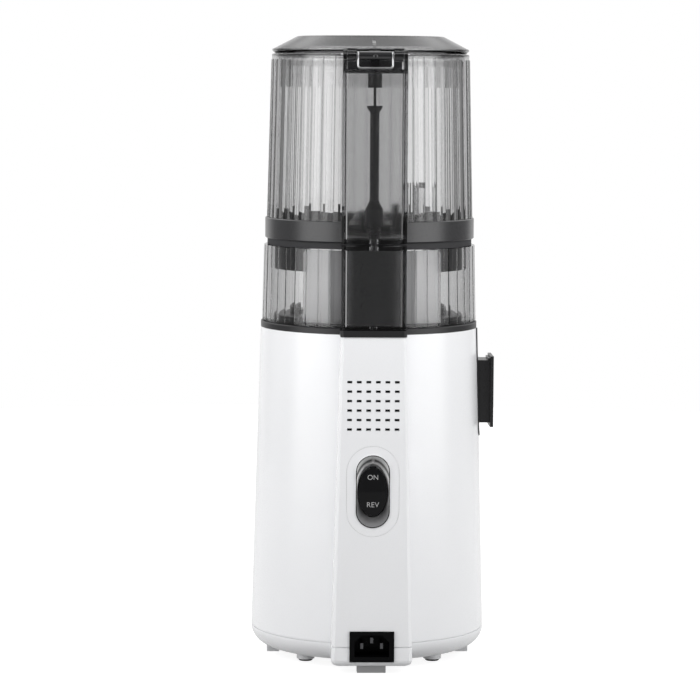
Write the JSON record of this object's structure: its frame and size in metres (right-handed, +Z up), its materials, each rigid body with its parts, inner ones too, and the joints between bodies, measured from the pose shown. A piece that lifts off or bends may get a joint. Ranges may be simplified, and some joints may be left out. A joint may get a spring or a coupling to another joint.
{
  "type": "cold press juicer",
  "caption": "Upright slow juicer: tapered motor housing with rear spine, rocker switch and inlet, lift-off juicing chamber with auger and strainer, fluted clear hopper and hinged lid.",
  "frame": {"origin": "on the drive shaft's axis, at the level of the table that the feet stand on", "axes": "+Z up along the drive shaft, +Y towards the rear spine with the switch and the inlet, -Y towards the juice spout, -X towards the pulp chute"},
  "size_m": [0.1769, 0.2121, 0.4516],
  "materials": {
    "white_housing": "moulded, fine satin gloss",
    "black_plastic": "satin black moulding",
    "satin_ring": "dark grey satin",
    "smoke_clear": "clear smoke-tinted copolyester",
    "smoke_dark": "clear smoke-tinted copolyester",
    "smoke_lid": "dark smoke copolyester",
    "auger_black": "filled engineering plastic",
    "rod_black": "satin black",
    "rubber_black": "silicone rubber",
    "grey_foot": "grey rubber",
    "bright_cup": "satin chrome plate",
    "rocker_black": "gloss black",
    "inlet_black": "moulded black",
    "pin_steel": "nickel-plated steel",
    "shaft_steel": "ground steel",
    "motor_metal": "zinc-plated steel",
    "gearbox_cast": "die-cast, as cast",
    "winding_copper": "enamelled copper wire",
    "fan_black": "moulded",
    "gear_nylon": "natural acetal",
    "board_green": "circuit board"
  },
  "bodies": {
    "base": {"housing": "white_housing", "base_cover": "white_housing", "rubber_feet": "rubber_black", "rear_foot": "grey_foot", "base_screws": "pin_steel", "switch_surround": "white_housing", "switch_cup": "bright_cup", "switch_module": "inlet_black", "power_inlet": "inlet_black", "inlet_pins": "pin_steel", "vent_baffle": "black_plastic", "chute_trim": "black_plastic", "spout_trim": "black_plastic", "deck_cup": "black_plastic", "shaft_seal": "rubber_black", "motor_can": "motor_metal", "motor_end_cap": "motor_metal", "stator": "winding_copper", "gearbox_case": "gearbox_cast", "gearbox_cover": "gearbox_cast", "gearbox_screws": "pin_steel", "output_bearing": "shaft_steel", "idler_axle": "shaft_steel", "control_board": "board_green", "interlock_switch": "inlet_black"},
    "rotor": {"rotor": "shaft_steel", "motor_pinion": "shaft_steel", "cooling_fan": "fan_black"},
    "idler": {"idler_gear": "gear_nylon"},
    "drive": {"output_gear": "gear_nylon", "drive_shaft": "shaft_steel"},
    "chamber": {"bowl_cup": "smoke_dark", "chamber_bowl": "smoke_dark", "chamber_seal": "rubber_black", "strainer": "satin_ring", "pulp_chute": "black_plastic", "juice_spout": "smoke_clear", "cap_pin": "pin_steel"},
    "auger": {"auger": "auger_black", "auger_bush": "gear_nylon"},
    "juice_cap": {"juice_cap": "black_plastic", "cap_seal": "rubber_black"},
    "hopper": {"hopper": "smoke_clear", "hopper_ring": "satin_ring", "hopper_gasket": "rubber_black", "hopper_floor": "satin_ring", "hopper_spigot": "satin_ring", "plunger_bush": "rod_black", "hinge_pin": "pin_steel", "hinge_sleeve": "rod_black", "hinge_clip": "pin_steel", "rod_spring": "pin_steel"},
    "cutter": {"cutting_blade": "smoke_lid", "cutter_bush": "gear_nylon"},
    "lid": {"lid": "smoke_lid", "lid_gasket": "rubber_black"},
    "push_rod": {"push_rod": "rod_black"},
    "lower_pin": {"lower_push_pin": "rod_black"},
    "interlock_button": {"interlock_button": "rod_black"},
    "rocker": {"switch_rocker": "rocker_black"}
  },
  "joints": [
    {"name": "chamber_lift", "type": "slide", "parent": "base", "child": "chamber", "axis": [0, 0, 1], "range_m": [0, 0.1]},
    {"name": "hopper_lift", "type": "slide", "parent": "chamber", "child": "hopper", "axis": [0, 0, 1], "range_m": [0, 0.08]},
    {"name": "lid_hinge", "type": "hinge", "parent": "hopper", "child": "lid", "pos_m": [0, 0.0885, 0.4368], "axis": [-1, 0, 0], "range_deg": [0, 100]},
    {"name": "push_rod_slide", "type": "slide", "parent": "hopper", "child": "push_rod", "axis": [0, 0, 1], "range_m": [0, 0.004], "deforming": ["rod_spring"]},
    {"name": "lower_pin_slide", "type": "slide", "parent": "chamber", "child": "lower_pin", "axis": [0, 0, 1], "range_m": [0, 0.004]},
    {"name": "interlock_button_slide", "type": "slide", "parent": "base", "child": "interlock_button", "axis": [0, 0, 1], "range_m": [0, 0.004]},
    {"name": "juice_cap_hinge", "type": "hinge", "parent": "chamber", "child": "juice_cap", "pos_m": [0, -0.09526, 0.188], "axis": [-1, 0, 0], "range_deg": [0, 70]},
    {"name": "rocker_tilt", "type": "hinge", "parent": "base", "child": "rocker", "pos_m": [0, 0.08793, 0.13085], "axis": [1, 0, 0], "range_deg": [-8, 8]},
    {"name": "drive_spin", "type": "hinge", "parent": "base", "child": "drive", "pos_m": [0, 0, 0.15], "axis": [0, 0, 1], "continuous": true},
    {"name": "idler_spin", "type": "hinge", "parent": "base", "child": "idler", "pos_m": [0, -0.036, 0.12], "axis": [0, 0, 1], "continuous": true},
    {"name": "rotor_spin", "type": "hinge", "parent": "base", "child": "rotor", "pos_m": [0, -0.0108, 0.07], "axis": [0, 0, 1], "continuous": true},
    {"name": "auger_spin", "type": "hinge", "parent": "chamber", "child": "auger", "pos_m": [0, 0, 0.16], "axis": [0, 0, 1], "continuous": true},
    {"name": "cutter_spin", "type": "hinge", "parent": "hopper", "child": "cutter", "pos_m": [0, 0, 0.31], "axis": [0, 0, 1], "continuous": true}
  ],
  "couplings": [
    {"joint": "push_rod_slide", "follows": "lid_hinge", "m_per_rad": 0.0022916},
    {"joint": "lower_pin_slide", "follows": "lid_hinge", "m_per_rad": 0.0022916},
    {"joint": "interlock_button_slide", "follows": "lid_hinge", "m_per_rad": 0.0022916},
    {"joint": "idler_spin", "follows": "drive_spin", "ratio": -5},
    {"joint": "rotor_spin", "follows": "drive_spin", "ratio": 25},
    {"joint": "auger_spin", "follows": "drive_spin", "ratio": 1},
    {"joint": "cutter_spin", "follows": "drive_spin", "ratio": 1}
  ]
}
